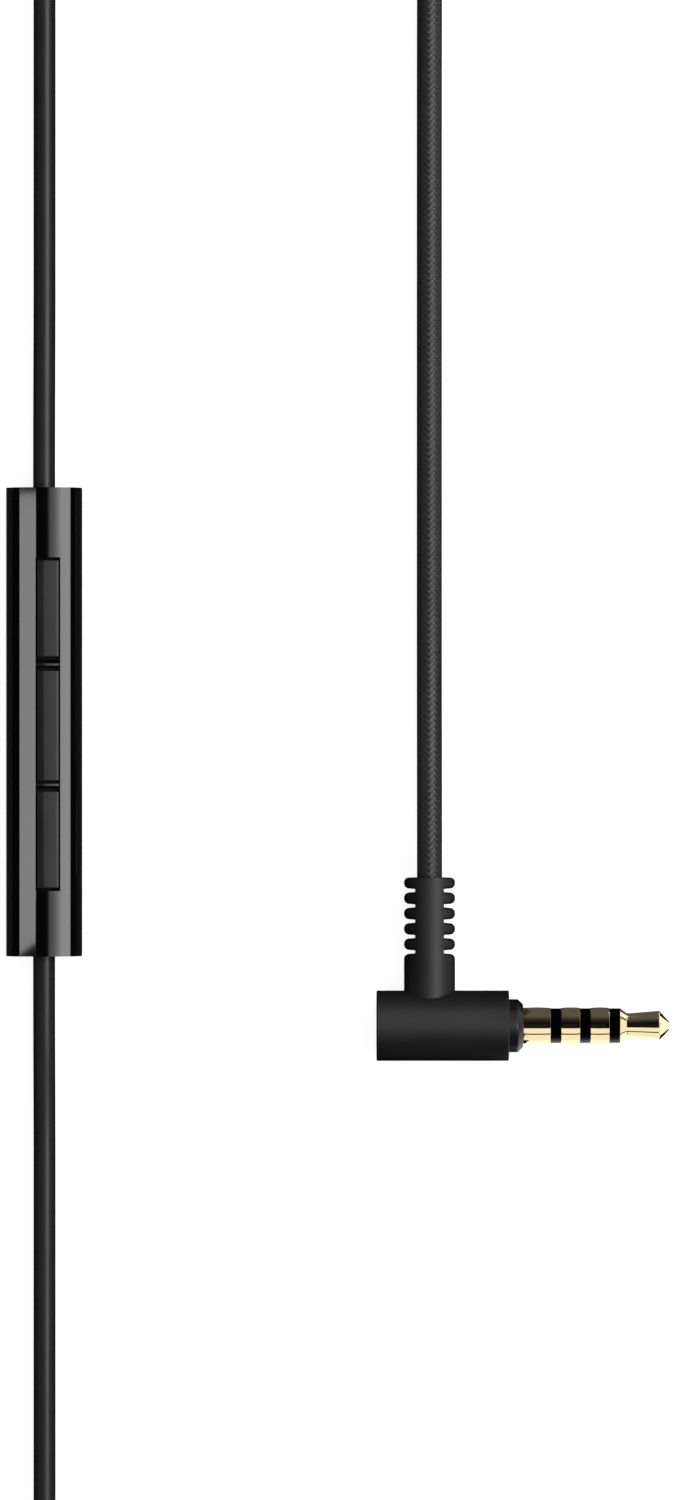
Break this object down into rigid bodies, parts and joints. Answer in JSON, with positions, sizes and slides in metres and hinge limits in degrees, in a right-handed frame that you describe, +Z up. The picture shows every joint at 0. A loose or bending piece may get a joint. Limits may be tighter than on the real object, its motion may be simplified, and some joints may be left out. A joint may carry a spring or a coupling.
{
  "type": "wired earphones",
  "caption": "Wired in-ear earphones with an in-line remote, a braided main cord, a splitter and a right-angled headphone plug.",
  "frame": {"origin": "on the surface that the earphones lie on, under the middle of the box round the remote, the splitter and the earpieces", "axes": "+Y along the straight cords from the plug end towards the splitter, +X along the plug's pin, +Z up from the surface"},
  "size_m": [0.0632, 0.2543, 0.012],
  "materials": {
    "braided_sleeve": "woven",
    "button_plastic": "satin",
    "circuit_board": "satin",
    "collar_plastic": "satin",
    "crimp_metal": "satin",
    "diaphragm_film": "gloss",
    "driver_steel": "satin",
    "earpiece_plastic": "gloss",
    "gold_plate": "polished",
    "inner_plastic": "matt",
    "mesh_steel": "satin",
    "microphone_steel": "satin",
    "pin_insulator": "gloss",
    "plug_plastic": "satin",
    "relief_rubber": "satin",
    "remote_casing": "gloss",
    "smooth_sleeve": "satin",
    "splitter_plastic": "satin",
    "switch_steel": "satin",
    "tie_rubber": "satin",
    "tip_silicone": "satin"
  },
  "bodies": {
    "base": {"base_insulator": "pin_insulator", "centre_switch": "switch_steel", "inner_ring_contact": "gold_plate", "left_diaphragm": "diaphragm_film", "left_driver": "driver_steel", "left_ear_tip": "tip_silicone", "left_front_housing": "earpiece_plastic", "left_lower_cord": "smooth_sleeve", "left_nozzle_mesh": "mesh_steel", "left_rear_housing": "earpiece_plastic", "left_strain_relief": "relief_rubber", "left_upper_cord": "smooth_sleeve", "main_cord": "braided_sleeve", "main_cord_coil": "braided_sleeve", "main_cord_tail": "braided_sleeve", "main_cord_tie": "tie_rubber", "middle_insulator": "pin_insulator", "outer_ring_contact": "gold_plate", "plug_collar": "collar_plastic", "plug_core": "inner_plastic", "plug_housing": "plug_plastic", "remote_back_shell": "remote_casing", "remote_circuit_board": "circuit_board", "remote_front_shell": "remote_casing", "remote_lower_cord_grip": "inner_plastic", "remote_microphone": "microphone_steel", "remote_upper_cord_grip": "inner_plastic", "right_cord_coil": "smooth_sleeve", "right_cord_lead": "smooth_sleeve", "right_cord_tail": "smooth_sleeve", "right_cord_tie": "tie_rubber", "right_diaphragm": "diaphragm_film", "right_driver": "driver_steel", "right_ear_tip": "tip_silicone", "right_front_housing": "earpiece_plastic", "right_nozzle_mesh": "mesh_steel", "right_rear_housing": "earpiece_plastic", "right_strain_relief": "relief_rubber", "sleeve_contact": "gold_plate", "splitter_back_shell": "splitter_plastic", "splitter_crimp": "crimp_metal", "splitter_front_shell": "splitter_plastic", "tip_contact": "gold_plate", "tip_insulator": "pin_insulator", "volume_down_switch": "switch_steel", "volume_up_switch": "switch_steel"},
    "volume_up_button": {"volume_up_button": "button_plastic"},
    "centre_button": {"centre_button": "button_plastic"},
    "volume_down_button": {"volume_down_button": "button_plastic"}
  },
  "joints": [
    {"name": "volume_up_press", "type": "slide", "parent": "base", "child": "volume_up_button", "axis": [0, 0, -1], "range_m": [0, 0.00025], "stiffness_N_per_m": 4000},
    {"name": "centre_press", "type": "slide", "parent": "base", "child": "centre_button", "axis": [0, 0, -1], "range_m": [0, 0.00025], "stiffness_N_per_m": 4000},
    {"name": "volume_down_press", "type": "slide", "parent": "base", "child": "volume_down_button", "axis": [0, 0, -1], "range_m": [0, 0.00025], "stiffness_N_per_m": 4000}
  ]
}
